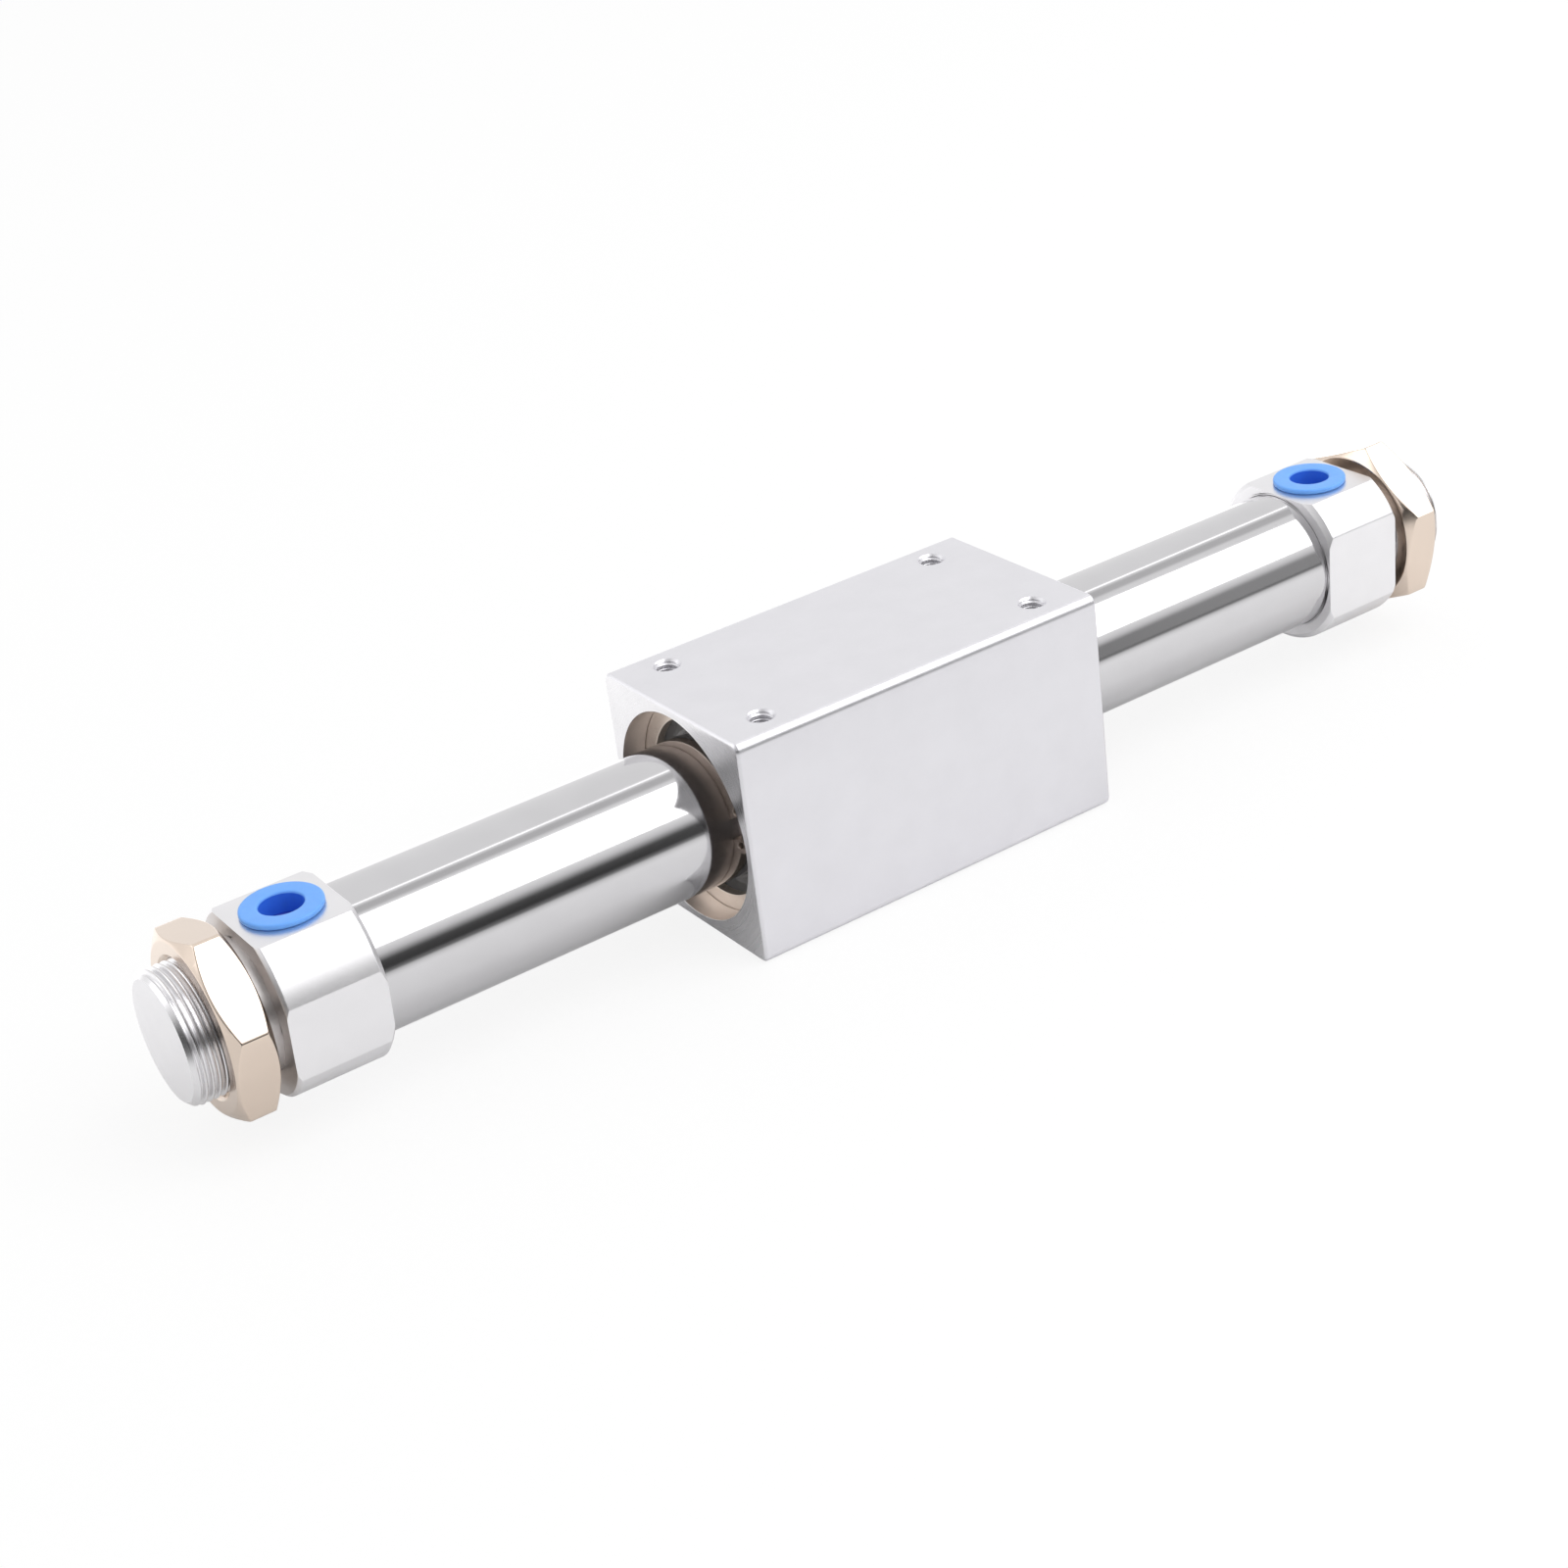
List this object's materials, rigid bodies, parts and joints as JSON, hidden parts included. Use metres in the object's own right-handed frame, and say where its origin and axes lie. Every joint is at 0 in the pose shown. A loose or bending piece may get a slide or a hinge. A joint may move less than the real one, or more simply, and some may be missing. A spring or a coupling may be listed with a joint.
{
  "type": "magnetically coupled rodless cylinder",
  "caption": "Rodless air cylinder: a square tapped carriage slides along a stainless tube, dragged by magnets on a hidden piston, with ported, nut-mounted end caps.",
  "frame": {"origin": "on the tube's axis, midway between the tips of the two threaded noses", "axes": "+X along the tube from the near to the far end, +Z out of the ports and the tapped face, -Y is the front"},
  "size_m": [0.232, 0.036, 0.036],
  "materials": {
    "stainless_tube": "polished stainless steel",
    "cap_aluminium": "turned, clear anodised",
    "plated_nut": "zinc-nickel plated, champagne tone",
    "blue_plug": "moulded polyethylene",
    "nitrile_rubber": "matt black",
    "urethane": "satin amber",
    "bearing_plastic": "filled plain bearing plastic",
    "anodised_housing": "fine satin, silver anodised",
    "ring_steel": "phosphated spring steel",
    "magnet": "nickel-plated rare-earth magnet",
    "yoke_iron": "zinc-plated mild steel",
    "shaft_steel": "plain carbon steel"
  },
  "bodies": {
    "cylinder": {"cylinder_tube": "stainless_tube", "near_end_cap": "cap_aluminium", "far_end_cap": "cap_aluminium", "near_mounting_nut": "plated_nut", "far_mounting_nut": "plated_nut", "near_port_plug": "blue_plug", "far_port_plug": "blue_plug", "near_tube_gasket": "nitrile_rubber", "far_tube_gasket": "nitrile_rubber", "near_bumper": "urethane", "far_bumper": "urethane"},
    "slider": {"near_bearing_ring": "bearing_plastic", "far_bearing_ring": "bearing_plastic", "near_scraper": "nitrile_rubber", "far_scraper": "nitrile_rubber"},
    "housing": {"carriage_housing": "anodised_housing", "near_retaining_ring": "ring_steel", "far_retaining_ring": "ring_steel", "outer_yoke_1": "yoke_iron", "outer_yoke_2": "yoke_iron", "outer_yoke_3": "yoke_iron", "outer_yoke_4": "yoke_iron", "outer_yoke_5": "yoke_iron", "outer_magnet_1": "magnet", "outer_magnet_2": "magnet", "outer_magnet_3": "magnet", "outer_magnet_4": "magnet"},
    "piston": {"piston_shaft": "shaft_steel", "near_piston_head": "cap_aluminium", "far_piston_head": "cap_aluminium", "near_piston_wear_ring": "bearing_plastic", "far_piston_wear_ring": "bearing_plastic", "near_piston_seal": "nitrile_rubber", "far_piston_seal": "nitrile_rubber", "near_piston_nut": "shaft_steel", "far_piston_nut": "shaft_steel", "inner_yoke_1": "yoke_iron", "inner_yoke_2": "yoke_iron", "inner_yoke_3": "yoke_iron", "inner_yoke_4": "yoke_iron", "inner_yoke_5": "yoke_iron", "inner_magnet_1": "magnet", "inner_magnet_2": "magnet", "inner_magnet_3": "magnet", "inner_magnet_4": "magnet"}
  },
  "joints": [
    {"name": "carriage_slide", "type": "slide", "parent": "cylinder", "child": "slider", "axis": [1, 0, 0], "range_m": [-0.051, 0.049]},
    {"name": "carriage_swivel", "type": "hinge", "parent": "slider", "child": "housing", "pos_m": [0, 0, 0], "axis": [1, 0, 0], "continuous": true},
    {"name": "piston_slide", "type": "slide", "parent": "cylinder", "child": "piston", "axis": [1, 0, 0], "range_m": [-0.051, 0.049]}
  ],
  "couplings": [
    {"joint": "piston_slide", "follows": "carriage_slide", "ratio": 1}
  ]
}
